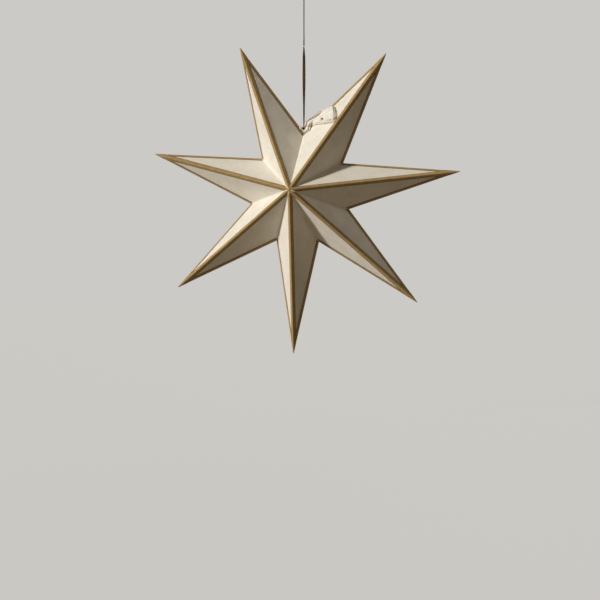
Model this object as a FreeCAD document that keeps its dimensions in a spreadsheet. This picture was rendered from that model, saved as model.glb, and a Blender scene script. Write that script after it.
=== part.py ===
"""Seven-point folded paper star with gold edging, hung by a ribbon. Millimetres.

White valley sheets make the star's body. Each is folded once, along a valley, and runs
from the ridge of one arm to the ridge of the next. The sheet at the top is in two
halves, which are tied together there. Folded gold strips cover every ridge and every
side edge, and gold alone covers the tips.

The origin is inside the top of the ribbon's loop, where the star hangs. +Z is up and
the front faces -Y. Angles round the star are measured from +Z towards +X.
"""
import FreeCAD, Part
import math
import os
import Sketcher

# Driving dimensions: alias, value, meaning. A handmade star's closed valleys differ a little:
# they are numbered clockwise from the tied one, and the sixth sector is what the others leave.
SIZES = [
    ("star_radius", 299.5, "centre to the paper's tip"),
    ("apex_depth", 84.0, "mid-plane to the front or back apex"),
    ("sector_1", 51.1, "degrees between the two arms beside valley 1"),
    ("sector_2", 49.3, "degrees between the two arms beside valley 2"),
    ("sector_3", 49.9, "degrees between the two arms beside valley 3"),
    ("sector_4", 51.3, "degrees between the two arms beside valley 4"),
    ("sector_5", 51.2, "degrees between the two arms beside valley 5"),
    ("valley_radius_1", 95.7, "centre to valley 1 in the mid-plane"),
    ("valley_radius_2", 96.3, "centre to valley 2 in the mid-plane"),
    ("valley_radius_3", 97.2, "centre to valley 3 in the mid-plane"),
    ("valley_radius_4", 99.8, "centre to valley 4 in the mid-plane"),
    ("valley_radius_5", 98.8, "centre to valley 5 in the mid-plane"),
    ("valley_radius_6", 99.6, "centre to valley 6 in the mid-plane"),
    ("valley_shift_1", -1.6, "degrees that valley 1 lies past the middle of its sector"),
    ("valley_shift_2", 1.1, "degrees that valley 2 lies past the middle of its sector"),
    ("valley_shift_3", 1.7, "degrees that valley 3 lies past the middle of its sector"),
    ("valley_shift_4", -0.3, "degrees that valley 4 lies past the middle of its sector"),
    ("valley_shift_5", -0.8, "degrees that valley 5 lies past the middle of its sector"),
    ("valley_shift_6", -0.3, "degrees that valley 6 lies past the middle of its sector"),
    ("tied_valley_radius", 111.5, "centre to the tied valley in the mid-plane"),
    ("tied_sector", 56.0, "degrees between the two arms beside the tied valley"),
    ("tied_valley_shift", 2.0, "degrees that the tied valley lies off the middle of its sector"),
    ("hang_tilt", 4.55, "degrees that the star leans as it hangs"),
    ("paper_thickness", 0.5, "white handmade paper"),
    ("strip_thickness", 0.4, "gold paper strip"),
    ("strip_leg", 6.0, "flat width of a strip on each side of its fold"),
    ("fold_radius", 1.3, "outside of a strip's fold"),
    ("sheet_margin", 0.3, "sheet edge to the start of the strip's fold"),
    ("strip_gap", 0.15, "edge strip to ridge strip"),
    ("seam_gap", 0.4, "between the half sheets at the tied valley"),
    ("tip_overhang", 3.5, "gold tip beyond the paper's tip"),
    ("ribbon_length", 270.0, "hanging ribbon between its knots"),
    ("ribbon_width", 6.0, "hanging ribbon"),
    ("ribbon_thickness", 0.6, "hanging ribbon"),
    ("loop_diameter", 28.0, "inside of the ribbon's loop"),
    ("loop_knot_radius", 4.0, "knot under the loop"),
    ("hanging_knot_radius", 4.5, "knot in the tied valley"),
    ("knot_cap", 50.0, "degrees from a knot's middle to the rim of its flat ends"),
    ("seat_gap", 0.3, "knot or tie to what it rests on"),
    ("tie_thickness", 3.0, "tail of the white tie, crumpled"),
    ("tie_start", 8.5, "tail's near end from the tied valley's crease"),
    ("tie_rise_start", 27.0, "crease to where the tail's upper edge levels out"),
    ("tie_rise_end", 64.0, "crease to where the tail's upper edge falls again"),
    ("tie_end", 82.0, "crease to the tail's far end"),
    ("tie_near_low", 6.5, "tail's near end past the tied valley, its lower corner"),
    ("tie_near_high", 21.5, "tail's near end past the tied valley, its upper corner"),
    ("tie_top", 40.5, "tail's upper edge past the tied valley"),
    ("tie_far_low", 8.5, "tail's far end short of the tied valley, its lower corner"),
    ("tie_far_high", 17.5, "tail's far end past the tied valley, its upper corner"),
    ("tie_knot_radius", 3.2, "knot of the white tie"),
]

ARMS = 7

FRONT = "front"
BACK = "back"
LEFT = "left"
RIGHT = "right"

# Facet kinds: two for each closed valley, and the two sides of the tied valley
TIED_ONE = "tied_one"
TIED_TWO = "tied_two"

# A strip's blank runs past what it is trimmed to, in shares of its own length
BLANK_START = 0.04
BLANK_LENGTH = 1.1

doc = FreeCAD.newDocument("paper_star")
sheet = doc.addObject("Spreadsheet::Sheet", "sizes")
for row, (alias, value, meaning) in enumerate(SIZES, start=1):
    sheet.set(f"A{row}", meaning)
    sheet.set(f"B{row}", str(value))
    sheet.setAlias(f"B{row}", alias)
doc.recompute()

# Sizes that follow from the driving ones
worked = doc.addObject("App::VarSet", "worked")


def work_out(name, expression):
    worked.addProperty("App::PropertyFloat", name, "Worked", "")
    worked.setExpression(name, expression)


def facet_sizes(kind, half, radius):
    """Sizes of one facet: apex C, valley point V and tip T, in the panel's own frame."""
    work_out(f"half_{kind}", half)
    work_out(f"valley_{kind}", radius)
    half, radius = f"worked.half_{kind}", f"worked.valley_{kind}"
    work_out(f"crease_{kind}", f"sqrt({radius}^2 + sizes.apex_depth^2)")
    work_out(
        f"edge_{kind}",
        f"sqrt(sizes.star_radius^2 + {radius}^2"
        f" - 2 * sizes.star_radius * {radius} * cos({half}))",
    )
    work_out(
        f"tip_along_{kind}",
        f"(sizes.apex_depth^2 + {radius} * sizes.star_radius * cos({half}))"
        f" / worked.crease_{kind}",
    )
    work_out(f"tip_across_{kind}", f"sqrt(worked.ridge^2 - worked.tip_along_{kind}^2)")
    work_out(f"lean_{kind}", f"atan({radius} / sizes.apex_depth) / 1 deg")
    work_out(
        f"turn_{kind}",
        f"atan(sizes.apex_depth * (sizes.star_radius * cos({half}) - {radius})"
        f" / (worked.crease_{kind} * sizes.star_radius * sin({half}))) / 1 deg",
    )
    # Facet to mid-plane, and facet to the arm's own upright plane
    work_out(
        f"edge_angle_{kind}",
        f"atan(sizes.apex_depth * worked.edge_{kind}"
        f" / ({radius} * sizes.star_radius * sin({half}))) / 1 deg",
    )
    work_out(
        f"ridge_angle_{kind}",
        f"acos(sin(worked.edge_angle_{kind}) * (sizes.star_radius - {radius} * cos({half}))"
        f" / worked.edge_{kind}) / 1 deg",
    )
    work_out(
        f"flare_{kind}",
        f"asin(sizes.star_radius * sin({half}) / worked.edge_{kind}) / 1 deg",
    )
    # The sheet stops where the strips' folds begin
    room = "(sizes.fold_radius - sizes.strip_thickness - sizes.paper_thickness)"
    work_out(f"ridge_set_{kind}", f"{room} / tan(worked.ridge_angle_{kind}) + sizes.sheet_margin")
    work_out(f"edge_set_{kind}", f"{room} / tan(worked.edge_angle_{kind}) + sizes.sheet_margin")
    seam = "0"
    if kind in (TIED_ONE, TIED_TWO):
        seam = f"sizes.paper_thickness * tan(worked.turn_{kind}) + sizes.seam_gap / 2"
    work_out(f"seam_{kind}", seam)
    work_out(
        f"low_y_{kind}",
        f"(worked.ridge_set_{kind} * worked.ridge"
        f" + worked.seam_{kind} * worked.tip_along_{kind}) / worked.tip_across_{kind}",
    )
    work_out(
        f"high_y_{kind}",
        f"worked.crease_{kind} - (worked.edge_set_{kind} * worked.edge_{kind}"
        f" - worked.seam_{kind} * (worked.tip_along_{kind} - worked.crease_{kind}))"
        f" / worked.tip_across_{kind}",
    )
    work_out(
        f"point_x_{kind}",
        f"worked.tip_across_{kind} - (worked.ridge_set_{kind} * worked.ridge"
        f" + worked.edge_set_{kind} * worked.edge_{kind}) / worked.crease_{kind}",
    )
    work_out(
        f"point_y_{kind}",
        f"(worked.ridge_set_{kind} * worked.ridge + worked.point_x_{kind} * worked.tip_along_{kind})"
        f" / worked.tip_across_{kind}",
    )
    # Half width of the band that a ridge strip covers, seen from the front
    work_out(
        f"band_{kind}",
        f"sizes.fold_radius * cos(worked.ridge_angle_{kind})"
        f" + sizes.strip_leg * sin(worked.ridge_angle_{kind}) + sizes.strip_gap",
    )


work_out("ridge", "sqrt(sizes.star_radius^2 + sizes.apex_depth^2)")


def closed_kind(valley, side):
    """The facet kind beside a closed valley, on its left or right seen from the front."""
    return f"closed_{valley}_{side}"


def sector_size(valley):
    if valley < ARMS - 1:
        return f"sizes.sector_{valley}"
    others = "".join(f" - sizes.sector_{other}" for other in range(1, ARMS - 1))
    return f"(360 - sizes.tied_sector{others})"


for valley in range(1, ARMS):
    for side, sign in ((LEFT, "+"), (RIGHT, "-")):
        facet_sizes(
            closed_kind(valley, side),
            f"{sector_size(valley)} / 2 {sign} sizes.valley_shift_{valley}",
            f"sizes.valley_radius_{valley}",
        )
facet_sizes(
    TIED_ONE, "sizes.tied_sector / 2 - sizes.tied_valley_shift", "sizes.tied_valley_radius"
)
facet_sizes(
    TIED_TWO, "sizes.tied_sector / 2 + sizes.tied_valley_shift", "sizes.tied_valley_radius"
)
work_out("fold_depth", "sizes.fold_radius - sizes.paper_thickness - sizes.strip_thickness")
work_out("fold_inside", "sizes.fold_radius - sizes.strip_thickness")
work_out("trim_radius", "sizes.star_radius + sizes.tip_overhang")
work_out("trim_depth", "sizes.apex_depth + 2 * sizes.fold_radius")

# Where the knot sits in the tied valley's notch, and so where the star hangs
work_out("tied_angle", "sizes.hang_tilt - sizes.tied_valley_shift")
work_out(
    "knot_rise",
    "(sizes.hanging_knot_radius + sizes.seat_gap"
    " + (sizes.paper_thickness + sizes.strip_thickness) / sin(worked.edge_angle_tied_two))"
    " / sin(min(worked.flare_tied_one; worked.flare_tied_two))",
)
work_out("loop_knot_z", "-sizes.loop_diameter - sizes.ribbon_thickness"
         " - sizes.loop_knot_radius * sin(sizes.knot_cap)")
work_out("ribbon_top", "worked.loop_knot_z - sizes.loop_knot_radius * sin(sizes.knot_cap)")
work_out(
    "knot_z",
    "worked.ribbon_top - sizes.ribbon_length - sizes.hanging_knot_radius * sin(sizes.knot_cap)",
)
work_out("centre_x", "-(sizes.tied_valley_radius + worked.knot_rise) * sin(worked.tied_angle)")
work_out(
    "centre_z", "worked.knot_z - (sizes.tied_valley_radius + worked.knot_rise) * cos(worked.tied_angle)"
)
doc.recompute()


def turn(axis, angle):
    """A placement that turns about one axis through the origin."""
    x, y, z = {"x": (1, 0, 0), "y": (0, 1, 0), "z": (0, 0, 1)}[axis]
    return f"placement(vector(0; 0; 0); rotation(vector({x}; {y}; {z}); {angle}))"


def shift(x, y, z):
    """A placement that only moves."""
    return f"placement(vector({x}; {y}; {z}); rotation(vector(0; 0; 1); 0))"


def about_star(angle, face=FRONT):
    """The star's centre, turned to a direction round the star and to its front or back."""
    place = [shift("worked.centre_x", 0, "worked.centre_z"), turn("y", angle)]
    if face == BACK:
        place.append(turn("z", 180))
    return " * ".join(place)


def arm_angle(arm):
    if arm == 1:
        return "(sizes.hang_tilt - sizes.tied_sector / 2)"
    before = "".join(f" + {sector_size(valley)}" for valley in range(1, arm - 1))
    return f"(sizes.hang_tilt + sizes.tied_sector / 2{before})"


def valley_angle(valley):
    """Closed valleys are numbered clockwise from the tied one."""
    return f"({arm_angle(valley + 1)} + worked.half_{closed_kind(valley, LEFT)})"


def arm_kinds(arm):
    """Facet kinds on the left and right of an arm, seen from the front."""
    left = TIED_TWO if arm == 2 else closed_kind(ARMS - 1 if arm == 1 else arm - 2, RIGHT)
    right = TIED_ONE if arm == 1 else closed_kind(arm - 1, LEFT)
    return left, right


def new_body(name):
    body = doc.addObject("PartDesign::Body", name)
    doc.recompute()
    return body


def new_sketch(body, name):
    plane = next(f for f in body.Origin.OriginFeatures if f.Role == "XY_Plane")
    sketch = body.newObject("Sketcher::SketchObject", name)
    sketch.AttachmentSupport = [(plane, "")]
    sketch.MapMode = "FlatFace"
    return sketch


def bind(sketch, constraint, expression):
    index = sketch.addConstraint(constraint)
    sketch.setExpression(f"Constraints[{index}]", expression)


def pad(body, sketch, name, length):
    feature = body.newObject("PartDesign::Pad", name)
    feature.Profile = sketch
    feature.setExpression("Length", length)
    sketch.Visibility = False
    return feature


def value(name):
    return getattr(worked, name)


def panel_place(kind, side):
    """From the valley's frame, its valley along +Z, to a facet whose crease is along +Y."""
    sign = "-" if side == RIGHT else ""
    return " * ".join([
        shift(0, "-sizes.apex_depth", 0),
        turn("x", f"worked.lean_{kind}"),
        turn("y", f"{sign}worked.turn_{kind}"),
    ])


def panel(name, kind, side, place):
    """One flat facet of a sheet, padded outwards from the fold lines' own plane."""
    way = 1 if side == RIGHT else -1
    near_x = way * value(f"seam_{kind}")
    low = FreeCAD.Vector(near_x, value(f"low_y_{kind}"), 0)
    high = FreeCAD.Vector(near_x, value(f"high_y_{kind}"), 0)
    point = FreeCAD.Vector(way * value(f"point_x_{kind}"), value(f"point_y_{kind}"), 0)
    body = new_body(name)
    sketch = new_sketch(body, f"{name}_outline")
    sketch.addGeometry([
        Part.LineSegment(low, high),
        Part.LineSegment(high, point),
        Part.LineSegment(point, low),
    ])
    sketch.addConstraint([
        Sketcher.Constraint("Coincident", 0, 2, 1, 1),
        Sketcher.Constraint("Coincident", 1, 2, 2, 1),
        Sketcher.Constraint("Coincident", 2, 2, 0, 1),
        Sketcher.Constraint("Vertical", 0),
    ])
    bind(sketch, Sketcher.Constraint("DistanceX", -1, 1, 0, 1, near_x),
         f"{way} * worked.seam_{kind}")
    bind(sketch, Sketcher.Constraint("DistanceY", -1, 1, 0, 1, low.y), f"worked.low_y_{kind}")
    bind(sketch, Sketcher.Constraint("DistanceY", -1, 1, 0, 2, high.y), f"worked.high_y_{kind}")
    bind(sketch, Sketcher.Constraint("DistanceX", -1, 1, 1, 2, point.x),
         f"{way} * worked.point_x_{kind}")
    bind(sketch, Sketcher.Constraint("DistanceY", -1, 1, 1, 2, point.y),
         f"worked.point_y_{kind}")
    pad(body, sketch, f"{name}_paper", "sizes.paper_thickness")
    body.setExpression("Placement", place)
    return body


def valley_sheet(face, valley):
    """A sheet folded along a closed valley, one solid of two facets."""
    name = f"{face}_sheet_{valley}"
    sides = []
    for drawn, seen in ((LEFT, RIGHT), (RIGHT, LEFT)) if face == BACK else ((LEFT, LEFT), (RIGHT, RIGHT)):
        kind = closed_kind(valley, seen)
        sides.append(panel(f"{name}_{drawn}", kind, drawn, panel_place(kind, drawn)))
    whole = doc.addObject("Part::Fuse", name)
    whole.Base, whole.Tool = sides
    whole.setExpression("Placement", about_star(valley_angle(valley), face))
    return whole


def end_sheet(face, side):
    """Half a sheet, which ends at the tied valley."""
    kind = TIED_ONE if side == LEFT else TIED_TWO
    drawn = side
    if face == BACK:
        drawn = RIGHT if side == LEFT else LEFT
    place = about_star("worked.tied_angle", face) + " * " + panel_place(kind, drawn)
    return panel(f"{face}_end_sheet_{side}", kind, drawn, place)


def fold_profile(sketch, left_angle, right_angle, angles):
    """A strip's section about its fold's centre, inwards along +Y, legs left and right."""
    outer = sheet.fold_radius
    inner = value("fold_inside")
    leg = sheet.strip_leg

    def ray(angle):
        return math.sin(math.radians(angle)), math.cos(math.radians(angle))

    right_x, right_y = ray(right_angle)
    left_x, left_y = ray(left_angle)

    def on_right(radius, along):
        return FreeCAD.Vector(radius * right_y + along * right_x,
                              -radius * right_x + along * right_y, 0)

    def on_left(radius, along):
        return FreeCAD.Vector(-radius * left_y - along * left_x,
                              -radius * left_x + along * left_y, 0)

    def arc(radius):
        low = FreeCAD.Vector(0, -radius, 0)
        return Part.Arc(on_left(radius, 0), low, on_right(radius, 0))

    sketch.addGeometry([
        arc(outer),
        Part.LineSegment(on_right(outer, 0), on_right(outer, leg)),
        Part.LineSegment(on_right(outer, leg), on_right(inner, leg)),
        Part.LineSegment(on_right(inner, leg), on_right(inner, 0)),
        arc(inner),
        Part.LineSegment(on_left(inner, 0), on_left(inner, leg)),
        Part.LineSegment(on_left(inner, leg), on_left(outer, leg)),
        Part.LineSegment(on_left(outer, leg), on_left(outer, 0)),
    ])
    sketch.addConstraint([
        Sketcher.Constraint("Coincident", 0, 3, -1, 1),
        Sketcher.Constraint("Coincident", 4, 3, -1, 1),
        Sketcher.Constraint("Tangent", 0, 2, 1, 1),
        Sketcher.Constraint("Coincident", 1, 2, 2, 1),
        Sketcher.Constraint("Coincident", 2, 2, 3, 1),
        Sketcher.Constraint("Tangent", 3, 2, 4, 2),
        Sketcher.Constraint("Tangent", 4, 1, 5, 1),
        Sketcher.Constraint("Coincident", 5, 2, 6, 1),
        Sketcher.Constraint("Coincident", 6, 2, 7, 1),
        Sketcher.Constraint("Tangent", 7, 2, 0, 1),
        Sketcher.Constraint("Perpendicular", 1, 2),
        Sketcher.Constraint("Perpendicular", 6, 7),
    ])
    bind(sketch, Sketcher.Constraint("Radius", 0, outer), "sizes.fold_radius")
    bind(sketch, Sketcher.Constraint("Radius", 4, inner), "worked.fold_inside")
    bind(sketch, Sketcher.Constraint("Distance", 1, leg), "sizes.strip_leg")
    bind(sketch, Sketcher.Constraint("Distance", 7, leg), "sizes.strip_leg")
    # Each leg's angle is held from the line across the section
    bind(sketch, Sketcher.Constraint("Angle", 1, math.radians(90 - right_angle)),
         f"90 deg - {angles[1]} * 1 deg")
    bind(sketch, Sketcher.Constraint("Angle", 5, math.radians(90 + left_angle)),
         f"90 deg + {angles[0]} * 1 deg")


def fold_centre(left, right):
    """Where a fold's centre lies below the ridge line, across and inwards."""
    deep = f"(worked.fold_depth * (cos({left}) + cos({right})) / sin({left} + {right}))"
    across = f"(({deep} * sin({right}) - worked.fold_depth) / cos({right}))"
    return across, deep


def strip_blank(name, left_angle, right_angle, length):
    """A folded strip before it is trimmed, with its fold line from the origin along +Z."""
    angles = (f"worked.{left_angle}", f"worked.{right_angle}")
    body = new_body(name)
    sketch = new_sketch(body, f"{name}_section")
    fold_profile(sketch, value(left_angle), value(right_angle), angles)
    pad(body, sketch, f"{name}_gold", f"{BLANK_LENGTH} * {length}")
    return body, angles


def sector(name, start, sweep, low, depth):
    """A pie-shaped trimming block about the star's axis."""
    block = doc.addObject("Part::Cylinder", name)
    block.setExpression("Radius", "worked.trim_radius")
    block.setExpression("Height", depth)
    block.setExpression("Angle", f"({sweep}) * 1 deg")
    upright = "placement(vector(0; 0; 0); rotation(vector(1; 1; 1); -120))"
    block.setExpression(
        "Placement",
        " * ".join([about_star(start), shift(0, low, 0), upright]),
    )
    return block


def trimmed(name, blank, block):
    piece = doc.addObject("Part::Common", name)
    piece.Base = blank
    piece.Tool = block
    return piece


def ridge_strip(face, arm):
    """The gold strip folded over an arm's ridge, from the apex to the tip."""
    name = f"{face}_ridge_strip_{arm}"
    left, right = arm_kinds(arm)
    low, drawn = "-worked.trim_depth", (left, right)
    if face == BACK:
        low, drawn = "0", (right, left)
    blank, angles = strip_blank(
        f"{name}_blank", f"ridge_angle_{drawn[0]}", f"ridge_angle_{drawn[1]}", "worked.ridge"
    )
    across, deep = fold_centre(*angles)
    blank.setExpression("Placement", " * ".join([
        about_star(arm_angle(arm), face),
        shift(0, "-sizes.apex_depth", 0),
        turn("x", "-atan(sizes.apex_depth / sizes.star_radius)"),
        shift(across, deep, f"-{BLANK_START} * worked.ridge"),
    ]))
    block = sector(
        f"{name}_trim",
        f"({arm_angle(arm)} - worked.half_{left})",
        f"worked.half_{left} + worked.half_{right}",
        low,
        "worked.trim_depth",
    )
    return trimmed(name, blank, block)


def ridge_bands(arm):
    """The block round an arm's axis that its ridge strips fill, left out of the edge strips."""
    left, right = arm_kinds(arm)
    block = doc.addObject("Part::Box", f"ridge_bands_{arm}")
    block.setExpression("Length", f"worked.band_{left} + worked.band_{right}")
    block.setExpression("Width", "2 * worked.trim_depth")
    block.setExpression("Height", "2 * worked.trim_radius")
    block.setExpression("Placement", " * ".join([
        about_star(arm_angle(arm)),
        shift(f"-worked.band_{left}", "-worked.trim_depth", 0),
    ]))
    return block


def edge_strip(side, arm, bands):
    """The gold strip folded over the edge between an arm's valley and its tip."""
    name = f"{side}_edge_strip_{arm}"
    kind = arm_kinds(arm)[0 if side == LEFT else 1]
    blank, angles = strip_blank(
        f"{name}_blank", f"edge_angle_{kind}", f"edge_angle_{kind}", f"worked.edge_{kind}"
    )
    across, deep = fold_centre(*angles)
    if side == LEFT:
        # The arm lies to the right of its left valley
        valley = start = f"({arm_angle(arm)} - worked.half_{kind})"
        flare, quarter = f"worked.flare_{kind}", -90
    else:
        valley = f"({arm_angle(arm)} + worked.half_{kind})"
        flare, quarter = f"-worked.flare_{kind}", 90
        start = arm_angle(arm)
    blank.setExpression("Placement", " * ".join([
        about_star(valley),
        shift(0, 0, f"worked.valley_{kind}"),
        turn("y", flare),
        turn("z", quarter),
        shift(across, deep, f"-{BLANK_START} * worked.edge_{kind}"),
    ]))
    block = sector(
        f"{name}_trim", start, f"worked.half_{kind}", "-worked.trim_depth",
        "2 * worked.trim_depth",
    )
    piece = doc.addObject("Part::Cut", name)
    piece.Base = trimmed(f"{name}_whole", blank, block)
    piece.Tool = bands
    return piece


def knot(name, radius, place):
    """A round knot, widest at its middle and flat where a ribbon runs into it."""
    halves = []
    for side, angle in (("upper", 0), ("lower", 180)):
        half = doc.addObject("Part::Cone", f"{name}_{side}")
        half.setExpression("Radius1", radius)
        half.setExpression("Radius2", f"{radius} * cos(sizes.knot_cap)")
        half.setExpression("Height", f"{radius} * sin(sizes.knot_cap)")
        half.setExpression("Placement", turn("x", angle))
        halves.append(half)
    whole = doc.addObject("Part::Fuse", name)
    whole.Base, whole.Tool = halves
    whole.setExpression("Placement", place)
    return whole


def hanging_ribbon():
    ribbon = doc.addObject("Part::Box", "hanging_ribbon")
    ribbon.setExpression("Length", "sizes.ribbon_width")
    ribbon.setExpression("Width", "sizes.ribbon_thickness")
    ribbon.setExpression("Height", "sizes.ribbon_length")
    ribbon.setExpression("Placement", shift(
        "-sizes.ribbon_width / 2", "-sizes.ribbon_thickness / 2",
        "worked.ribbon_top - sizes.ribbon_length",
    ))
    return ribbon


def hanging_loop():
    """The ribbon's own loop, a flat band bent into a ring, with the origin inside its top."""
    body = new_body("hanging_loop")
    sketch = new_sketch(body, "hanging_loop_ring")
    inner = sheet.loop_diameter / 2
    outer = inner + sheet.ribbon_thickness
    up = FreeCAD.Vector(0, 0, 1)
    sketch.addGeometry([
        Part.Circle(FreeCAD.Vector(), up, inner),
        Part.Circle(FreeCAD.Vector(), up, outer),
    ])
    sketch.addConstraint([
        Sketcher.Constraint("Coincident", 0, 3, -1, 1),
        Sketcher.Constraint("Coincident", 1, 3, -1, 1),
    ])
    bind(sketch, Sketcher.Constraint("Radius", 0, inner), "sizes.loop_diameter / 2")
    bind(sketch, Sketcher.Constraint("Radius", 1, outer),
         "sizes.loop_diameter / 2 + sizes.ribbon_thickness")
    pad(body, sketch, "hanging_loop_band", "sizes.ribbon_width")
    body.setExpression("Placement", " * ".join([
        shift(0, "sizes.ribbon_width / 2", "-sizes.loop_diameter / 2"), turn("x", 90),
    ]))
    return body


def tie_tail():
    """The white tie's tail, which lies on the front of the arm right of the tied valley."""
    corners = [
        ("sizes.tie_start", "sizes.tie_near_low"),
        ("sizes.tie_end", "-sizes.tie_far_low"),
        ("sizes.tie_end", "sizes.tie_far_high"),
        ("sizes.tie_rise_end", "sizes.tie_top"),
        ("sizes.tie_rise_start", "sizes.tie_top"),
        ("sizes.tie_start", "sizes.tie_near_high"),
    ]
    for index, (across, past) in enumerate(corners):
        work_out(f"tie_x_{index}", across)
        work_out(f"tie_y_{index}", f"worked.crease_{TIED_TWO} + {past}")
    doc.recompute()
    count = len(corners)
    points = [
        FreeCAD.Vector(value(f"tie_x_{index}"), value(f"tie_y_{index}"), 0)
        for index in range(count)
    ]
    body = new_body("tie_ribbon")
    sketch = new_sketch(body, "tie_ribbon_outline")
    for index, start in enumerate(points):
        sketch.addGeometry(Part.LineSegment(start, points[(index + 1) % count]))
    for index in range(count):
        sketch.addConstraint(
            Sketcher.Constraint("Coincident", index, 2, (index + 1) % count, 1)
        )
    for index, start in enumerate(points):
        bind(sketch, Sketcher.Constraint("DistanceX", -1, 1, index, 1, start.x),
             f"worked.tie_x_{index}")
        bind(sketch, Sketcher.Constraint("DistanceY", -1, 1, index, 1, start.y),
             f"worked.tie_y_{index}")
    pad(body, sketch, "tie_ribbon_cloth", "sizes.tie_thickness")
    body.setExpression("Placement", " * ".join([
        about_star("worked.tied_angle"),
        panel_place(TIED_TWO, RIGHT),
        shift(0, 0, "sizes.paper_thickness + sizes.strip_thickness + sizes.seat_gap"),
    ]))
    return body


def tie_knot():
    """The white tie's knot, in front of the hanging knot and a little to its left."""
    reach = "(sizes.hanging_knot_radius + sizes.tie_knot_radius)"
    place = " * ".join([
        shift(0, 0, "worked.knot_z"), turn("z", -30), shift(0, f"-{reach}", 0),
    ])
    return knot("tie_knot", "sizes.tie_knot_radius", place)


subparts = []
for face in (FRONT, BACK):
    subparts += [valley_sheet(face, valley) for valley in range(1, ARMS)]
    subparts += [end_sheet(face, side) for side in (LEFT, RIGHT)]
    subparts += [ridge_strip(face, arm) for arm in range(1, ARMS + 1)]
for arm in range(1, ARMS + 1):
    bands = ridge_bands(arm)
    subparts += [edge_strip(side, arm, bands) for side in (LEFT, RIGHT)]
subparts += [hanging_ribbon(), hanging_loop(), tie_tail(), tie_knot()]
subparts.append(knot("loop_knot", "sizes.loop_knot_radius", shift(0, 0, "worked.loop_knot_z")))
subparts.append(knot("hanging_knot", "sizes.hanging_knot_radius", shift(0, 0, "worked.knot_z")))
doc.recompute()

for item in doc.Objects:
    if "Invalid" in item.State or "Error" in item.State:
        raise RuntimeError(f"{item.Name} did not build: {item.State}")
for item in subparts:
    if item.Shape.isNull() or not item.Shape.isValid() or len(item.Shape.Solids) != 1:
        raise RuntimeError(f"{item.Name} is not one valid solid")

os.makedirs("parts", exist_ok=True)
for item in subparts:
    item.Shape.exportStep(f"parts/{item.Label}.step")
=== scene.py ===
"""Folded paper star with gold edging, hung by its ribbon: looks, lights and camera. Metres.

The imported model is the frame. Paper, gold strips and ribbons are meshes made here from
the star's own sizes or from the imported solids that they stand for.
"""
import math

import bmesh
import bpy
from mathutils import Matrix, Vector, noise


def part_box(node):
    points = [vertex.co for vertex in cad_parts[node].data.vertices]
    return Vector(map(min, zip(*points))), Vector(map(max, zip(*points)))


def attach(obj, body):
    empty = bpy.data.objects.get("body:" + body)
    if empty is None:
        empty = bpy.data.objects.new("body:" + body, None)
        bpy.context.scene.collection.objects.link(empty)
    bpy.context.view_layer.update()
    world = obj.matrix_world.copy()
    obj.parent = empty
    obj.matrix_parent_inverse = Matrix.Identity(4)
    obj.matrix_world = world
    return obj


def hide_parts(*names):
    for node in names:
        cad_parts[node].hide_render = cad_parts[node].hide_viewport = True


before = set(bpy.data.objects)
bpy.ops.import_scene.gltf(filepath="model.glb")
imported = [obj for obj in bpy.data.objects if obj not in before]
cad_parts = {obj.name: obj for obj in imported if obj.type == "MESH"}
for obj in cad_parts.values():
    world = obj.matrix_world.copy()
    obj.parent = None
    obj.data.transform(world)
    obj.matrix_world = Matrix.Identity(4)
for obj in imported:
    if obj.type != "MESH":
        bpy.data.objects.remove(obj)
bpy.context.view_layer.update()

# The star's sizes, as the solids have them
STAR_RADIUS = 0.2995
APEX_DEPTH = 0.084
SECTORS = [56.0, 51.1, 49.3, 49.9, 51.3, 51.2, 51.2]  # degrees, the tied valley's first
VALLEY_RADII = [0.1115, 0.0957, 0.0963, 0.0972, 0.0998, 0.0988, 0.0996]
VALLEY_SHIFTS = [-2.0, -1.6, 1.1, 1.7, -0.3, -0.8, -0.3]  # degrees past the sector's middle
HANG_TILT = 4.55  # degrees that the middle of the tied sector leans to the right
ARMS = 7
CENTRE = Vector((-0.00538, 0.0, -0.42899))

# The camera stands level, right of the star's front and below its centre
CAMERA_DISTANCE = 2.8
CAMERA_BELOW = 0.2012
CAMERA_LEFT = 0.0022
CAMERA_AZIMUTH = math.radians(15.1)
CAMERA_LENS = 89.6
SENSOR_WIDTH = 36
FLOOR_BELOW = 0.42
FLOOR_WIDTH = 80

# The background and the lights
BACKGROUND = (0.60, 0.59, 0.565, 1.0)
FLOOR_COLOUR = (0.24, 0.19, 0.13, 1.0)
FLOOR_GLOW = 1.10  # brings the floor's own colour up to the background's
FLOOR_SHOWN = 0.85  # share of the plain background in what the camera sees of the floor
FILL_COLOUR = (1.0, 0.83, 0.60, 1.0)
FILL_LEFT = 0.20
FILL_RIGHT = 0.075
LAMP_COLOUR = (1.0, 0.98, 0.95)
LAMP_DISTANCE = 3
KEY_WAY = Vector((-0.664, -0.664, 0.342))
KEY_STRENGTH = 2.8
KEY_SPREAD = 7
BACK_WAY = Vector((-0.15, 0.95, 0.25))
BACK_STRENGTH = 1.1
BACK_SPREAD = 30

# The paper and strips, as the solids have them
PAPER_THICKNESS = 0.0005
RIDGE_REACH = 0.00663  # from a fold's line to the end of a strip's leg
EDGE_REACH = 0.00634
SHEET_INSET = 0.0018  # from the line of a ridge or edge to the paper's own edge
SEAM = 0.0005
VALLEY_FOLD_RADIUS = 0.0035
ROWS_AT_FOLD = [0.0, 0.003, 0.006, 0.009, 0.012, 0.016, 0.021]
ROWS_BEYOND = 34
SHEET_COLUMNS = 15

# How far the paper waves off its plane, how closely, and where it starts to
BUCKLE = 0.0011
BUCKLE_SCALE = 17.0
FINE_BUCKLE = 0.35
FINE_BUCKLE_SCALE = 3.1
FREE_OF_STRIP = (RIDGE_REACH + 0.001, 0.034)
FREE_OF_VALLEY = (0.002, 0.03)

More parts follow.
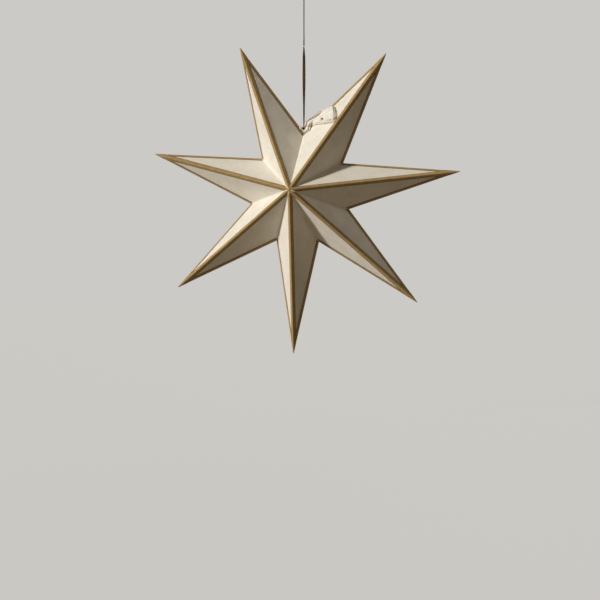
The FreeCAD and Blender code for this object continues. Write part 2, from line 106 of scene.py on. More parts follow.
# The hanging ribbon, with the turns of its width from the picture's own plane, in degrees at
# shares of its length from the lower knot up
RIBBON_WIDTH = 0.006
RIBBON_THICKNESS = 0.0006
RIBBON_TWIST = [
    (0.0, 66),
    (0.114, 55),
    (0.36, 14),
    (0.46, 28),
    (0.545, 62),
    (0.562, 118),
    (0.66, 112),
    (1.0, 114),
]
RIBBON_ROUTE = [(0, 0, -0.30473), (0, 0, -0.215), (0, 0, -0.125), (0, 0, -0.03473)]
ROUTE_STEPS = 60
BAND_STEPS = 8  # points across a ribbon's face
BAND_FLATNESS = 6  # the higher, the squarer a ribbon's section
LOOP_HALF_WIDTH = 0.0105
LOOP_LEAN = 0.0012
LOOP_STEPS = 72
KNOT_STEPS = 36

# The tie's tail as the photograph shows it: rows from the knot to the far end, each from
# the upper edge to the lower one, as pixels across and down and millimetres above the arm
TAIL_ROWS = [
    [(304.4, 124.6, 6), (304.5, 126.6, 7), (304.7, 128.4, 7), (304.8, 130.4, 5), (305.0, 132.0, 2)],
    [(305.6, 122.2, 5), (306.1, 124.0, 7), (306.6, 126.6, 1.5), (307.0, 129.0, 6.5), (307.3, 131.4, 1)],
    [(307.6, 119.7, 6), (308.2, 121.4, 2), (308.8, 123.6, 7), (309.3, 126.4, 3), (309.6, 130.2, 1)],
    [(311.2, 117.0, 6), (311.4, 119.2, 1), (311.8, 121.4, 6), (311.0, 123.6, 0.5), (311.4, 126.2, 0.3)],
    [(315.4, 114.4, 7), (315.8, 117.2, 0.5), (313.8, 119.8, 6), (314.8, 122.0, 6), (316.5, 124.6, 0.3)],
    [(321.2, 110.4, 6.5), (319.4, 114.8, 1), (320.4, 117.6, 7.5), (321.0, 121.0, 6), (323.0, 123.6, 0.5)],
    [(327.4, 107.8, 5), (327.2, 111.2, 7), (327.6, 115.6, 5.5), (328.0, 119.6, 7), (329.0, 122.8, 0.5)],
    [(333.0, 105.7, 5), (332.6, 110.0, 7.5), (333.0, 114.6, 7), (333.6, 118.6, 5.5), (334.4, 121.6, 0.6)],
    [(335.2, 107.8, 0), (336.4, 111.0, 0), (337.0, 114.8, 0), (336.8, 117.8, 0), (336.4, 120.2, 0)],
]
TAIL_STEPS = 8
TAIL_DENT = (322.8, 119.3)
DENT_DEPTH = 8.0
DENT_PIXELS = (0.3, 1.9)
TAIL_FRONT = -0.004  # the tail's Y where it stands past the arm
TAIL_GAP = 0.0007
TAIL_THICKNESS = 0.0003
TAIL_CREASES = [(0.0014, 60, 1.7), (0.0008, 150, 4.1)]  # height, scale and seed
PHOTO_CENTRE = 300.0
PHOTO_WIDTH = 600.0
MILLIMETRE = 0.001

NUB_SHIFT = Vector((0.0009, 0, 0))
NUB_RADII = (2.4, 3.0, 2.6)  # millimetres


def round_star(angle, radius, depth=0.0):
    """A point at an angle from +Z towards +X about the star's centre."""
    return CENTRE + Vector((radius * math.sin(angle), depth, radius * math.cos(angle)))


def arm_angle(arm):
    """Arm 1 is left of the tied valley, and the others follow it clockwise."""
    return math.radians(HANG_TILT - SECTORS[0] / 2 + sum(SECTORS[:arm - 1]))


def valley_point(valley):
    """Valley 0 is the tied one, and the others follow it clockwise."""
    valley = valley % ARMS
    past_arm = SECTORS[valley] / 2 + VALLEY_SHIFTS[valley]
    return round_star(arm_angle(valley + 1) + math.radians(past_arm), VALLEY_RADII[valley])


def tip_point(arm):
    return round_star(arm_angle(arm), STAR_RADIUS)


def apex_point(face):
    return CENTRE + Vector((0, -APEX_DEPTH if face == "front" else APEX_DEPTH, 0))


def set_up_camera():
    data = bpy.data.cameras.new("camera")
    data.sensor_width = SENSOR_WIDTH
    data.lens = CAMERA_LENS
    data.clip_end = 100
    camera = bpy.data.objects.new("camera", data)
    bpy.context.collection.objects.link(camera)
    turn = Matrix.Rotation(CAMERA_AZIMUTH, 4, "Z")
    offset = turn @ Vector((-CAMERA_LEFT, -CAMERA_DISTANCE, -CAMERA_BELOW))
    camera.location = CENTRE + offset
    camera.rotation_euler = (math.pi / 2, 0, CAMERA_AZIMUTH)
    bpy.context.scene.camera = camera


def seen_share(nodes, links):
    """One for what the camera, gloss and glass see, and nothing for light that spreads."""
    path = nodes.new("ShaderNodeLightPath")
    either = nodes.new("ShaderNodeMath")
    either.operation = "MAXIMUM"
    links.new(path.outputs["Is Camera Ray"], either.inputs[0])
    links.new(path.outputs["Is Glossy Ray"], either.inputs[1])
    every = nodes.new("ShaderNodeMath")
    every.operation = "MAXIMUM"
    links.new(either.outputs[0], every.inputs[0])
    links.new(path.outputs["Is Transmission Ray"], every.inputs[1])
    return every.outputs[0]


def set_up_floor():
    """A floor in the background's own colour, which still takes the star's shadow."""
    bpy.ops.mesh.primitive_plane_add(size=FLOOR_WIDTH, location=(0, 0, CENTRE.z - FLOOR_BELOW))
    floor = bpy.context.object
    floor.name = "floor"
    material = bpy.data.materials.new("pale_floor")
    material.use_nodes = True
    nodes, links = material.node_tree.nodes, material.node_tree.links
    shader = nodes["Principled BSDF"]
    shader.inputs["Base Color"].default_value = FLOOR_COLOUR
    shader.inputs["Roughness"].default_value = 0.9
    plain = nodes.new("ShaderNodeEmission")
    plain.inputs["Color"].default_value = BACKGROUND
    plain.inputs["Strength"].default_value = FLOOR_GLOW
    share = nodes.new("ShaderNodeMath")
    share.operation = "MULTIPLY"
    share.inputs[1].default_value = FLOOR_SHOWN
    links.new(seen_share(nodes, links), share.inputs[0])
    mix = nodes.new("ShaderNodeMixShader")
    links.new(share.outputs[0], mix.inputs["Fac"])
    links.new(shader.outputs[0], mix.inputs[1])
    links.new(plain.outputs[0], mix.inputs[2])
    links.new(mix.outputs[0], nodes["Material Output"].inputs["Surface"])
    floor.data.materials.append(material)


def set_up_world():
    """A plain background for what sees it, and a dimmer one that lights, more from the left."""
    world = bpy.data.worlds.new("studio")
    bpy.context.scene.world = world
    world.use_nodes = True
    nodes, links = world.node_tree.nodes, world.node_tree.links
    shown = nodes.new("ShaderNodeBackground")
    shown.inputs["Color"].default_value = BACKGROUND
    fill = nodes["Background"]
    fill.inputs["Color"].default_value = FILL_COLOUR
    way = nodes.new("ShaderNodeSeparateXYZ")
    links.new(nodes.new("ShaderNodeTexCoord").outputs["Generated"], way.inputs[0])
    side = nodes.new("ShaderNodeMapRange")
    side.inputs["From Min"].default_value = -1.0
    side.inputs["To Min"].default_value = FILL_LEFT
    side.inputs["To Max"].default_value = FILL_RIGHT
    links.new(way.outputs["X"], side.inputs["Value"])
    links.new(side.outputs["Result"], fill.inputs["Strength"])
    mix = nodes.new("ShaderNodeMixShader")
    links.new(seen_share(nodes, links), mix.inputs["Fac"])
    links.new(fill.outputs[0], mix.inputs[1])
    links.new(shown.outputs[0], mix.inputs[2])
    links.new(mix.outputs[0], nodes["World Output"].inputs["Surface"])


def add_lamp(name, way, strength, spread):
    """A far lamp in a direction from the star, as soft as its spread in degrees."""
    data = bpy.data.lights.new(name, "SUN")
    data.angle = math.radians(spread)
    data.energy = strength
    data.color = LAMP_COLOUR
    lamp = bpy.data.objects.new(name, data)
    bpy.context.collection.objects.link(lamp)
    lamp.location = CENTRE + way * LAMP_DISTANCE
    lamp.rotation_euler = (-way).to_track_quat("-Z", "Y").to_euler()


def smooth_step(low, high, x):
    """Nothing below the low value and one above the high one, with an even S between."""
    t = min(1.0, max(0.0, (x - low) / (high - low)))
    return t * t * (3 - 2 * t)


def line_distance(point, start, end):
    """How far a point lies from the line through two others."""
    way = (end - start).normalized()
    offset = point - start
    return (offset - way * offset.dot(way)).length


def new_object(name, vertices, faces, material):
    """A smooth-shaded mesh object of one material."""
    mesh = bpy.data.meshes.new(name)
    mesh.from_pydata([tuple(v) for v in vertices], [], faces)
    mesh.validate()
    mesh.materials.append(material)
    piece = bpy.data.objects.new(name, mesh)
    bpy.context.collection.objects.link(piece)
    mesh.shade_smooth()
    return piece


def stand_for(piece, slot, *nodes):
    """Ties a piece to the star's body and hides the solids it stands for; the slot is not used."""
    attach(piece, "root")
    if nodes:
        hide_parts(*nodes)
    return piece


class Facet:
    """One flat facet beside a valley, from the apex and the valley out to an arm's tip."""

    def __init__(self, apex, valley, tip):
        self.apex, self.valley, self.tip = apex, valley, tip
        self.along = (valley - apex).normalized()
        outwards = (tip - apex).cross(self.along)
        if outwards.dot(apex - CENTRE) < 0:
            outwards.negate()
        self.normal = outwards.normalized()
        self.across = self.along.cross(self.normal)
        if self.across.dot(tip - apex) < 0:
            self.across.negate()
        self.crease = (valley - apex).length
        self.tip_x = (tip - apex).dot(self.across)
        self.tip_y = (tip - apex).dot(self.along)

    def corners(self, seam):
        """Paper's corners in the facet's own frame: low and high on the crease, and far."""
        ridge = (self.tip - self.apex).length
        edge = (self.tip - self.valley).length
        low = (SHEET_INSET * ridge + seam * self.tip_y) / self.tip_x
        back = (SHEET_INSET * edge - seam * (self.tip_y - self.crease)) / self.tip_x
        high = self.crease - back
        far_x = self.tip_x - SHEET_INSET * (ridge + edge) / self.crease
        far_y = (SHEET_INSET * ridge + far_x * self.tip_y) / self.tip_x
        return low, high, far_x, far_y

    def place(self, x, y, z):
        return self.apex + self.across * x + self.along * y + self.normal * z


def sheet_rows():
    """Shares of the way from the crease to the tip, close together at the fold."""
    last = ROWS_AT_FOLD[-1]
    beyond = [last + (1 - last) * (k / ROWS_BEYOND) for k in range(1, ROWS_BEYOND + 1)]
    return ROWS_AT_FOLD + beyond


def facet_points(facet, seam, fold_to=None):
    """The outer face of one facet's paper, row by row from the crease to the tip."""
    low, high, far_x, far_y = facet.corners(seam)
    bend = 0.0
    if fold_to is not None:
        bend = facet.normal.angle(fold_to.normal) / 2
        middle = (facet.normal + fold_to.normal).normalized()
        side = (facet.normal.cross(facet.along)).normalized()
        if side.dot(facet.across) < 0:
            side.negate()
        side = (side - middle * side.dot(middle)).normalized()
    fold_reach = VALLEY_FOLD_RADIUS * math.tan(bend)
    rows = []
    for share in sheet_rows():
        row = []
        for k in range(SHEET_COLUMNS):
            start_y = low + (high - low) * k / (SHEET_COLUMNS - 1)
            x = seam + (far_x - seam) * share
            y = start_y + (far_y - start_y) * share
            point = facet.place(x, y, PAPER_THICKNESS)
            if x < fold_reach:
                corner = facet.apex + facet.along * y
                corner = corner + middle * (PAPER_THICKNESS / math.cos(bend))
                hub = corner + middle * (VALLEY_FOLD_RADIUS / math.cos(bend))
                turn = bend * x / fold_reach
                spoke = side * math.sin(turn) - middle * math.cos(turn)
                point = hub + spoke * VALLEY_FOLD_RADIUS
            from_ridge = line_distance(point, facet.apex, facet.tip)
            from_edge = line_distance(point, facet.valley, facet.tip)
            loose = smooth_step(*FREE_OF_STRIP, min(from_ridge, from_edge))
            loose = loose * smooth_step(*FREE_OF_VALLEY, x)
            fine = noise.noise(point * BUCKLE_SCALE * FINE_BUCKLE_SCALE)
            wave = noise.noise(point * BUCKLE_SCALE) + FINE_BUCKLE * fine
            row.append(point + facet.normal * (BUCKLE * wave * loose))
        rows.append(row)
    return rows


def grid_faces(rows, columns, start, flip):
    """Four-sided faces over a grid of points, from the start's number on."""
    faces = []
    for i in range(rows - 1):
        for j in range(columns - 1):
            a = start + i * columns + j
            quad = [a, a + 1, a + columns + 1, a + columns]
            faces.append(quad[::-1] if flip else quad)
    return faces


def paper_piece(name, facets, seam, material):
    """A sheet of one or two facets, given thickness inwards from its outer face."""
    vertices, faces = [], []
    for index, facet in enumerate(facets):
        other = facets[1 - index] if len(facets) == 2 else None
        rows = facet_points(facet, seam, other)
        way = (rows[0][1] - rows[0][0]).cross(rows[4][0] - rows[0][0])
        start = len(vertices)
        for row in rows:
            vertices += row
        faces += grid_faces(len(rows), len(rows[0]), start, way.dot(facet.normal) < 0)
    piece = new_object(name, vertices, faces, material)
    work = bmesh.new()
    work.from_mesh(piece.data)
    bmesh.ops.remove_doubles(work, verts=work.verts, dist=0.00002)
    bmesh.ops.dissolve_degenerate(work, dist=0.00001, edges=work.edges)
    work.to_mesh(piece.data)
    work.free()
    thick = piece.modifiers.new("thickness", "SOLIDIFY")
    thick.thickness = PAPER_THICKNESS
    thick.offset = -1
    return piece


def strip_piece(name, node, start, end, reach, material):
    """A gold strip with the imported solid's form, and how far each point is from its fold."""
    mesh = bpy.data.objects[node].data.copy()
    mesh.name = name
    mesh.materials.clear()
    mesh.materials.append(material)
    piece = bpy.data.objects.new(name, mesh)
    bpy.context.collection.objects.link(piece)
    # How far each point is from the fold; the gold lays its painted fold highlight and painted edge shade
    # by it
    across = mesh.attributes.new("across", "FLOAT", "POINT")
    for vertex in mesh.vertices:
        across.data[vertex.index].value = line_distance(vertex.co, start, end) / reach
    mesh.shade_smooth()
    mesh.set_sharp_from_angle(angle=math.radians(35))
    return piece


def dress_star(paper, gold):
    """A paper for every white sheet and a gold strip for every ridge and edge."""
    for face in ("front", "back"):
        apex = apex_point(face)
        for valley in range(1, ARMS):
            right_arm = valley + 2 if valley < ARMS - 1 else 1
            left = Facet(apex, valley_point(valley), tip_point(valley + 1))
            right = Facet(apex, valley_point(valley), tip_point(right_arm))
            node = f"{face}_sheet_{valley}"
            piece = paper_piece(f"{node}_paper", (left, right), 0.0, paper)
            stand_for(piece, "white_sheet", node)
        for side, arm in (("left", 1), ("right", 2)):
            facet = Facet(apex, valley_point(0), tip_point(arm))
            node = f"{face}_end_sheet_{side}"
            piece = paper_piece(f"{node}_paper", (facet,), SEAM, paper)
            stand_for(piece, "white_sheet", node)
        for arm in range(1, ARMS + 1):
            node = f"{face}_ridge_strip_{arm}"
            piece = strip_piece(f"{node}_gold", node, apex, tip_point(arm), RIDGE_REACH, gold)
            stand_for(piece, "gold_strip", node)
    for arm in range(1, ARMS + 1):
        for side, valley in (("left", arm - 2), ("right", arm - 1)):
            node = f"{side}_edge_strip_{arm}"
            start = valley_point(valley)
            piece = strip_piece(f"{node}_gold", node, start, tip_point(arm), EDGE_REACH, gold)
            stand_for(piece, "gold_strip", node)


def twist_at(keys, share):
    """A turn between keyed shares of a length, easing in and out at each key."""
    for (low, first), (high, second) in zip(keys, keys[1:]):
        if share <= high:
            return first + (second - first) * smooth_step(low, high, share)
    return keys[-1][1]


def band_mesh(name, path, sides, width, thickness, material, closed=False):
    """A flat woven band along a path, with the direction of its width at each point."""
    section = []
    for k in range(BAND_STEPS + 1):
        x = -1 + 2 * k / BAND_STEPS
        section.append((x, math.sqrt(max(0.0, 1 - x ** BAND_FLATNESS)) * 0.5))
    section += [(x, -y) for x, y in section[-2:0:-1]]
    vertices, across = [], []
    count = len(path)
    for index, (point, side) in enumerate(zip(path, sides)):
        before = path[index - 1] if index or closed else path[0]
        after = path[(index + 1) % count] if index < count - 1 or closed else path[-1]
        way = (after - before).normalized()
        side = (side - way * side.dot(way)).normalized()
        up = way.cross(side)
        for x, y in section:
            vertices.append(point + side * (x * width / 2) + up * (y * thickness))
            across.append(abs(x))
    ring = len(section)
    faces = []
    for i in range(count if closed else count - 1):
        for k in range(ring):
            here = i * ring
            there = ((i + 1) % count) * ring
            beside = (k + 1) % ring
            faces.append((here + k, here + beside, there + beside, there + k))
    if not closed:
        faces.append(tuple(range(ring))[::-1])
        faces.append(tuple((count - 1) * ring + k for k in range(ring)))
    piece = new_object(name, vertices, faces, material)
    layer = piece.data.attributes.new("across", "FLOAT", "POINT")
    for index, value in enumerate(across):
        layer.data[index].value = value
    return piece


def along_route(route):
    """Points on the smooth line that a route's points control."""
    data = bpy.data.curves.new("route", "CURVE")
    data.dimensions = "3D"
    spline = data.splines.new("NURBS")
    spline.points.add(len(route) - 1)
    for point, place in zip(spline.points, route):
        point.co = (*place, 1)
    spline.order_u = 3
    spline.use_endpoint_u = True
    spline.resolution_u = ROUTE_STEPS
    holder = bpy.data.objects.new("route", data)
    line = bpy.data.meshes.new_from_object(holder)
    points = [vertex.co.copy() for vertex in line.vertices]
    bpy.data.objects.remove(holder)
    bpy.data.meshes.remove(line)
    return points


def hanging_ribbon(material):
    """The twisted ribbon between its two knots, with its path and its length."""
    path = along_route(RIBBON_ROUTE)
    length = (path[-1] - path[0]).length
    sides = []
    for point in path:
        share = (point - path[0]).length / length
        angle = CAMERA_AZIMUTH + math.radians(twist_at(RIBBON_TWIST, share))
        sides.append(Vector((math.cos(angle), math.sin(angle), 0)))
    piece = band_mesh("bronze_ribbon", path, sides, RIBBON_WIDTH, RIBBON_THICKNESS, material)
    stand_for(piece, "hanging_ribbon", "hanging_ribbon")
    return piece, path, length


def ribbon_loop(material):
    """The ribbon's own loop, drawn in at the knot below it."""
    low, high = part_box("hanging_loop")
    tall = -low[2]
    path, sides = [], []
    for k in range(LOOP_STEPS):
        t = 2 * math.pi * k / LOOP_STEPS
        x = LOOP_HALF_WIDTH * math.sin(t) * math.sin(t / 2) ** 1.4
        z = -tall * (1 + math.cos(t)) / 2 + RIBBON_THICKNESS / 2
        path.append(Vector((x, LOOP_LEAN * math.sin(t), z)))
        sides.append(Vector((0.12 * math.cos(t), 1, 0)))
    piece = band_mesh("ribbon_loop", path, sides, RIBBON_WIDTH, RIBBON_THICKNESS, material, True)
    return stand_for(piece, "hanging_ribbon", "hanging_loop")


def knot_curve(name, centre, size, strand, material, tilt, slot, *nodes):
    """An overhand knot's crossings, pulled tight into a small round lump."""
    data = bpy.data.curves.new(name, "CURVE")
    data.dimensions = "3D"
    data.bevel_depth = strand
    data.bevel_resolution = 3
    data.resolution_u = 4
    spline = data.splines.new("NURBS")
    spline.points.add(KNOT_STEPS - 1)
    turn = Matrix.Rotation(tilt, 3, "X") @ Matrix.Rotation(tilt * 0.7, 3, "Z")
    for k in range(KNOT_STEPS):
        t = 2 * math.pi * k / KNOT_STEPS
        wide = 2 + math.cos(3 * t)
        place = Vector((wide * math.cos(2 * t), wide * math.sin(2 * t), 1.2 * math.sin(3 * t)))
        point = turn @ place
        point = Vector((point.x, point.y, point.z * 0.85)) * (size - strand) / 3
        spline.points[k].co = (*(centre + point), 1)
    spline.use_cyclic_u = True
    data.materials.append(material)
    piece = bpy.data.objects.new(name, data)
    bpy.context.collection.objects.link(piece)
    return stand_for(piece, slot, *nodes)


def box_centre(node):
    """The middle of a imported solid's box."""
    low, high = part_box(node)
    return (Vector(low) + Vector(high)) / 2


def on_plane(pixel, point, normal):
    """Where the camera sees a pixel of the photograph on a plane."""
    camera = bpy.context.scene.camera
    scale = SENSOR_WIDTH / CAMERA_LENS / PHOTO_WIDTH
    way = Vector(((pixel[0] - PHOTO_CENTRE) * scale, (PHOTO_CENTRE - pixel[1]) * scale, -1))
    way = (camera.rotation_euler.to_matrix() @ way).normalized()
    start = camera.location
    return start + way * ((point - start).dot(normal) / way.dot(normal))


def between(rows, u, v):
    """A place in the tail's rows, straight between their points."""
    i, j = min(int(u), len(rows) - 2), min(int(v), len(rows[0]) - 2)
    near = Vector(rows[i][j]).lerp(Vector(rows[i][j + 1]), v - j)
    far = Vector(rows[i + 1][j]).lerp(Vector(rows[i + 1][j + 1]), v - j)
    return near.lerp(far, u - i)


def crease(point, scale, seed):
    """One on a fold's line, falling away evenly on both sides."""
    value = noise.noise(point * scale + Vector((seed, seed * 2.3, -seed)))
    return 1 - min(1.0, abs(value) * 3.2)


def tie_nub(material):
    """The white tie's own knot, a small pleated lump of cloth."""
    centre = box_centre("tie_knot") - NUB_SHIFT
    wide, deep, tall = NUB_RADII
    work = bmesh.new()
    bmesh.ops.create_icosphere(work, subdivisions=5, radius=1)
    for vertex in work.verts:
        place = vertex.co.copy()
        turn = math.atan2(place.z, place.x)
        pleat = 0.13 * math.cos(4 * turn + 2.5 * place.y) * (1 - place.y ** 2)
        size = 0.86 + pleat + 0.16 * crease(place, 0.9, 3.3)
        grown = Vector((place.x * wide, place.y * deep, place.z * tall))
        vertex.co = centre + grown * (size * MILLIMETRE)
    mesh = bpy.data.meshes.new("tie_nub")
    work.to_mesh(mesh)
    work.free()
    mesh.materials.append(material)
    mesh.shade_smooth()
    piece = bpy.data.objects.new("tie_nub", mesh)
    bpy.context.collection.objects.link(piece)
    return stand_for(piece, "tie_ribbon", "tie_knot")


def tie_tail(material):
    """The white tie's tail, which lies on the arm's face and stands past its edge."""
    facet = Facet(apex_point("front"), valley_point(0), tip_point(2))
    rows = (len(TAIL_ROWS) - 1) * TAIL_STEPS
    columns = (len(TAIL_ROWS[0]) - 1) * TAIL_STEPS
    vertices = []
    for i in range(rows + 1):
        for j in range(columns + 1):
            u, v = i / TAIL_STEPS, j / TAIL_STEPS
            place = between(TAIL_ROWS, u, v)
            place += 0.25 * (between(TAIL_ROWS, min(u + 0.25, rows / TAIL_STEPS), v) - place)
            dent = (Vector(place[:2]) - Vector(TAIL_DENT)).length
            rise = place[2] - DENT_DEPTH * (1 - smooth_step(*DENT_PIXELS, dent))
            pixel = (place[0], place[1])
            lift = PAPER_THICKNESS + TAIL_GAP + max(0.0, rise) * MILLIMETRE
            point = on_plane(pixel, facet.place(0, 0, lift), facet.normal)
            front = TAIL_FRONT - rise * MILLIMETRE
            if point.y > front:
                point = on_plane(pixel, Vector((0, front, 0)), Vector((0, 1, 0)))
            edge = min(i, j, rows - i, columns - j) / TAIL_STEPS
            fine = sum(high * crease(point, scale, seed) for high, scale, seed in TAIL_CREASES)
            vertices.append(point + facet.normal * (fine * smooth_step(0, 0.3, edge)))
    faces = grid_faces(rows + 1, columns + 1, 0, True)
    piece = new_object("tie_tail", vertices, faces, material)
    thick = piece.modifiers.new("thickness", "SOLIDIFY")
    thick.thickness = TAIL_THICKNESS
    thick.offset = 0
    smooth = piece.modifiers.new("smooth", "SUBSURF")
    smooth.levels = smooth.render_levels = 1
    return stand_for(piece, "tie_ribbon", "tie_ribbon")


def noise_node(nodes, links, coordinate, scale, detail, rough=0.5):
    """A noise texture at a coordinate."""
    texture = nodes.new("ShaderNodeTexNoise")
    texture.inputs["Scale"].default_value = scale
    texture.inputs["Detail"].default_value = detail
    texture.inputs["Roughness"].default_value = rough
    links.new(coordinate, texture.inputs["Vector"])
    return texture


def ramp_node(nodes, links, source, stops):
    """A colour for each value between the stops, which are places and colours."""
    ramp = nodes.new("ShaderNodeValToRGB")
    while len(ramp.color_ramp.elements) < len(stops):
        ramp.color_ramp.elements.new(0.5)
    for element, (place, colour) in zip(ramp.color_ramp.elements, stops):
        element.position = place
        element.color = (*colour, 1.0)
    links.new(source, ramp.inputs["Fac"])
    return ramp


def mix_colour(nodes, links, blend, factor, first, second):
    """Two colours or sockets mixed by a number or a socket."""
    mix = nodes.new("ShaderNodeMix")
    mix.data_type = "RGBA"
    mix.blend_type = blend
    if isinstance(factor, float):
        mix.inputs["Factor"].default_value = factor
    else:
        links.new(factor, mix.inputs["Factor"])
    for source, socket in ((first, mix.inputs["A"]), (second, mix.inputs["B"])):
        if isinstance(source, tuple):
            socket.default_value = (*source, 1.0)
        else:
            links.new(source, socket)
    return mix.outputs["Result"]


def math_node(nodes, links, operation, first, second):
    """The result of one operation on two numbers or sockets."""
    node = nodes.new("ShaderNodeMath")
    node.operation = operation
    for source, socket in ((first, node.inputs[0]), (second, node.inputs[1])):
        if isinstance(source, (int, float)):
            socket.default_value = source
        else:
            links.new(source, socket)
    return node.outputs[0]


def bump_node(nodes, links, height, strength, distance, before=None):
    """A surface bump, on top of another where one is given."""
    bump = nodes.new("ShaderNodeBump")
    bump.inputs["Strength"].default_value = strength
    bump.inputs["Distance"].default_value = distance
    links.new(height, bump.inputs["Height"])
    if before is not None:
        links.new(before, bump.inputs["Normal"])
    return bump.outputs["Normal"]


def start_material(name, roughness, metallic=0.0):
    """A new material with its nodes, links, shader and object coordinates."""
    material = bpy.data.materials.new(name)
    material.use_nodes = True
    nodes, links = material.node_tree.nodes, material.node_tree.links
    shader = nodes["Principled BSDF"]
    shader.inputs["Roughness"].default_value = roughness
    shader.inputs["Metallic"].default_value = metallic
    place = nodes.new("ShaderNodeTexCoord").outputs["Object"]
    return material, nodes, links, shader, place


def fibres(nodes, links, place, scale):
    """Long thin lines, where a noise crosses its middle value."""
    field = noise_node(nodes, links, place, scale, 3.0, 0.55)
    off = math_node(nodes, links, "SUBTRACT", field.outputs["Fac"], 0.5)
    off = math_node(nodes, links, "ABSOLUTE", off, 0.0)
    line = math_node(nodes, links, "MULTIPLY", off, 34.0)
    line = math_node(nodes, links, "MINIMUM", line, 1.0)
    return math_node(nodes, links, "SUBTRACT", 1.0, line)


def paper_material():
    """Warm white handmade paper: cloudy, with fibres in it and a soft tooth."""
    material, nodes, links, shader, place = start_material("white_handmade_paper", 0.82)
    clouds = noise_node(nodes, links, place, 38.0, 5.0, 0.62)
    tones = [(0.30, (0.79, 0.735, 0.625)), (0.52, (0.855, 0.81, 0.71)), (0.75, (0.89, 0.855, 0.765))]
    tone = ramp_node(nodes, links, clouds.outputs["Fac"], tones)
    specks = noise_node(nodes, links, place, 420.0, 4.0, 0.7)
    grains = [(0.32, (0.86, 0.84, 0.80)), (0.55, (1.0, 1.0, 1.0)), (0.8, (1.02, 1.02, 1.02))]
    grain = ramp_node(nodes, links, specks.outputs["Fac"], grains)
    colour = mix_colour(nodes, links, "MULTIPLY", 0.7, tone.outputs["Color"], grain.outputs["Color"])
    lines = fibres(nodes, links, place, 95.0)
    shown = math_node(nodes, links, "MULTIPLY", lines, 0.30)
    colour = mix_colour(nodes, links, "MIX", shown, colour, (0.93, 0.90, 0.83))
    links.new(colour, shader.inputs["Base Color"])
    normal = bump_node(nodes, links, clouds.outputs["Fac"], 0.35, 0.0012)
    normal = bump_node(nodes, links, specks.outputs["Fac"], 0.45, 0.0004, normal)
    normal = bump_node(nodes, links, lines, 0.30, 0.0003, normal)
    links.new(normal, shader.inputs["Normal"])
    return material


def gold_material():
    """Gold-coated paper: a little uneven, with a painted highlight along the fold, partly wear, and
    painted shade along its cut edges.
    """
    material, nodes, links, shader, place = start_material("gold_paper", 0.5, 0.05)
    across = nodes.new("ShaderNodeAttribute")
    across.attribute_name = "across"
    # Painted highlight on the fold line, partly wear, then the gold's own colour on the legs, then
    # painted shade at the cut edges
    tones = [
        (0.03, (0.58, 0.43, 0.21)),
        (0.10, (0.42, 0.285, 0.115)),
        (0.84, (0.42, 0.285, 0.115)),
        (0.91, (0.17, 0.10, 0.035)),
        (1.0, (0.12, 0.065, 0.02)),
    ]
    tone = ramp_node(nodes, links, across.outputs["Fac"], tones)
    clouds = noise_node(nodes, links, place, 140.0, 4.0, 0.6)
    shades = [(0.3, (0.80, 0.78, 0.74)), (0.55, (1.0, 1.0, 1.0)), (0.75, (1.12, 1.10, 1.04))]
    shade = ramp_node(nodes, links, clouds.outputs["Fac"], shades)
    colour = mix_colour(nodes, links, "MULTIPLY", 1.0, tone.outputs["Color"], shade.outputs["Color"])
    links.new(colour, shader.inputs["Base Color"])
    rough = nodes.new("ShaderNodeMapRange")
    rough.inputs["To Min"].default_value = 0.42
    rough.inputs["To Max"].default_value = 0.62
    links.new(clouds.outputs["Fac"], rough.inputs["Value"])
    links.new(rough.outputs["Result"], shader.inputs["Roughness"])
    grain = noise_node(nodes, links, place, 900.0, 3.0)
    shader.inputs["Specular IOR Level"].default_value = 0.15
    normal = bump_node(nodes, links, clouds.outputs["Fac"], 0.20, 0.0006)
    normal = bump_node(nodes, links, grain.outputs["Fac"], 0.12, 0.0001, normal)
    links.new(normal, shader.inputs["Normal"])
    return material


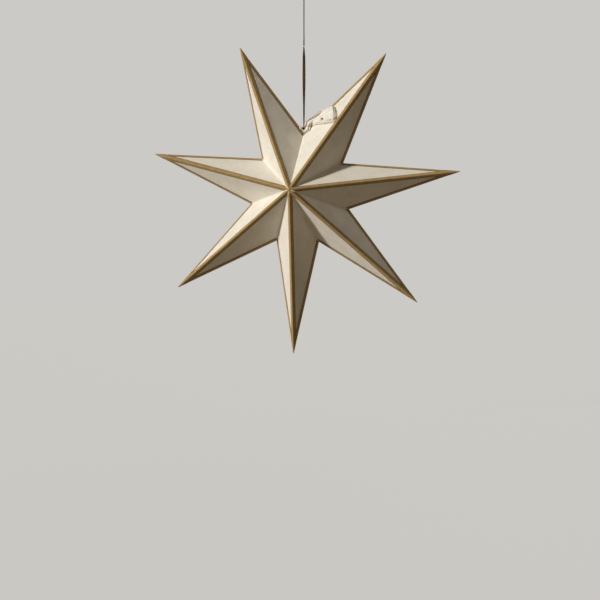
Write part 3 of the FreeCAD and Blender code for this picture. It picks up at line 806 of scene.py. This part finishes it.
def ribbon_material():
    """Bronze satin ribbon: ribbed across, with a painted highlight along both edges."""
    material, nodes, links, shader, place = start_material("bronze_ribbon", 0.5)
    across = nodes.new("ShaderNodeAttribute")
    across.attribute_name = "across"
    # Dark bronze across the face, with a painted highlight towards both edges
    tones = [(0.0, (0.12, 0.075, 0.036)), (0.72, (0.14, 0.09, 0.044)), (0.9, (0.30, 0.205, 0.10))]
    tone = ramp_node(nodes, links, across.outputs["Fac"], tones)
    weave = nodes.new("ShaderNodeTexWave")
    weave.bands_direction = "Z"
    weave.inputs["Scale"].default_value = 420.0
    weave.inputs["Distortion"].default_value = 1.5
    links.new(place, weave.inputs["Vector"])
    shades = [(0.2, (0.8, 0.8, 0.8)), (0.8, (1.15, 1.15, 1.15))]
    shade = ramp_node(nodes, links, weave.outputs["Fac"], shades)
    colour = mix_colour(nodes, links, "MULTIPLY", 1.0, tone.outputs["Color"], shade.outputs["Color"])
    links.new(colour, shader.inputs["Base Color"])
    shader.inputs["Sheen Weight"].default_value = 0.1
    shader.inputs["Specular IOR Level"].default_value = 0.3
    normal = bump_node(nodes, links, weave.outputs["Fac"], 0.4, 0.0002)
    links.new(normal, shader.inputs["Normal"])
    return material


def cotton_material():
    """Soft crumpled white cotton tape."""
    material, nodes, links, shader, place = start_material("white_cotton", 0.9)
    clouds = noise_node(nodes, links, place, 160.0, 4.0)
    tones = [(0.3, (0.78, 0.73, 0.63)), (0.6, (0.89, 0.85, 0.77))]
    tone = ramp_node(nodes, links, clouds.outputs["Fac"], tones)
    weave = noise_node(nodes, links, place, 1500.0, 2.0)
    links.new(tone.outputs["Color"], shader.inputs["Base Color"])
    shader.inputs["Sheen Weight"].default_value = 0.25
    normal = bump_node(nodes, links, clouds.outputs["Fac"], 0.5, 0.001)
    normal = bump_node(nodes, links, weave.outputs["Fac"], 0.35, 0.0002, normal)
    links.new(normal, shader.inputs["Normal"])
    return material


set_up_camera()
set_up_floor()
set_up_world()
add_lamp("key", KEY_WAY, KEY_STRENGTH, KEY_SPREAD)
add_lamp("back", BACK_WAY, BACK_STRENGTH, BACK_SPREAD)

paper = paper_material()
gold = gold_material()
bronze = ribbon_material()
cotton = cotton_material()

ribbon, ribbon_path, ribbon_length = hanging_ribbon(bronze)
loop = ribbon_loop(bronze)
loop_knot = knot_curve("loop_knot_wraps", box_centre("loop_knot"), 0.0042, 0.0013, bronze, 1.2,
                       "hanging_ribbon", "loop_knot")
hanging_knot = knot_curve("hanging_knot_wraps", box_centre("hanging_knot"), 0.0048, 0.0015, bronze, 0.9,
                          "hanging_ribbon", "hanging_knot")

dress_star(paper, gold)
tail = tie_tail(cotton)
nub = tie_nub(cotton)

bpy.context.scene.view_settings.view_transform = "Standard"
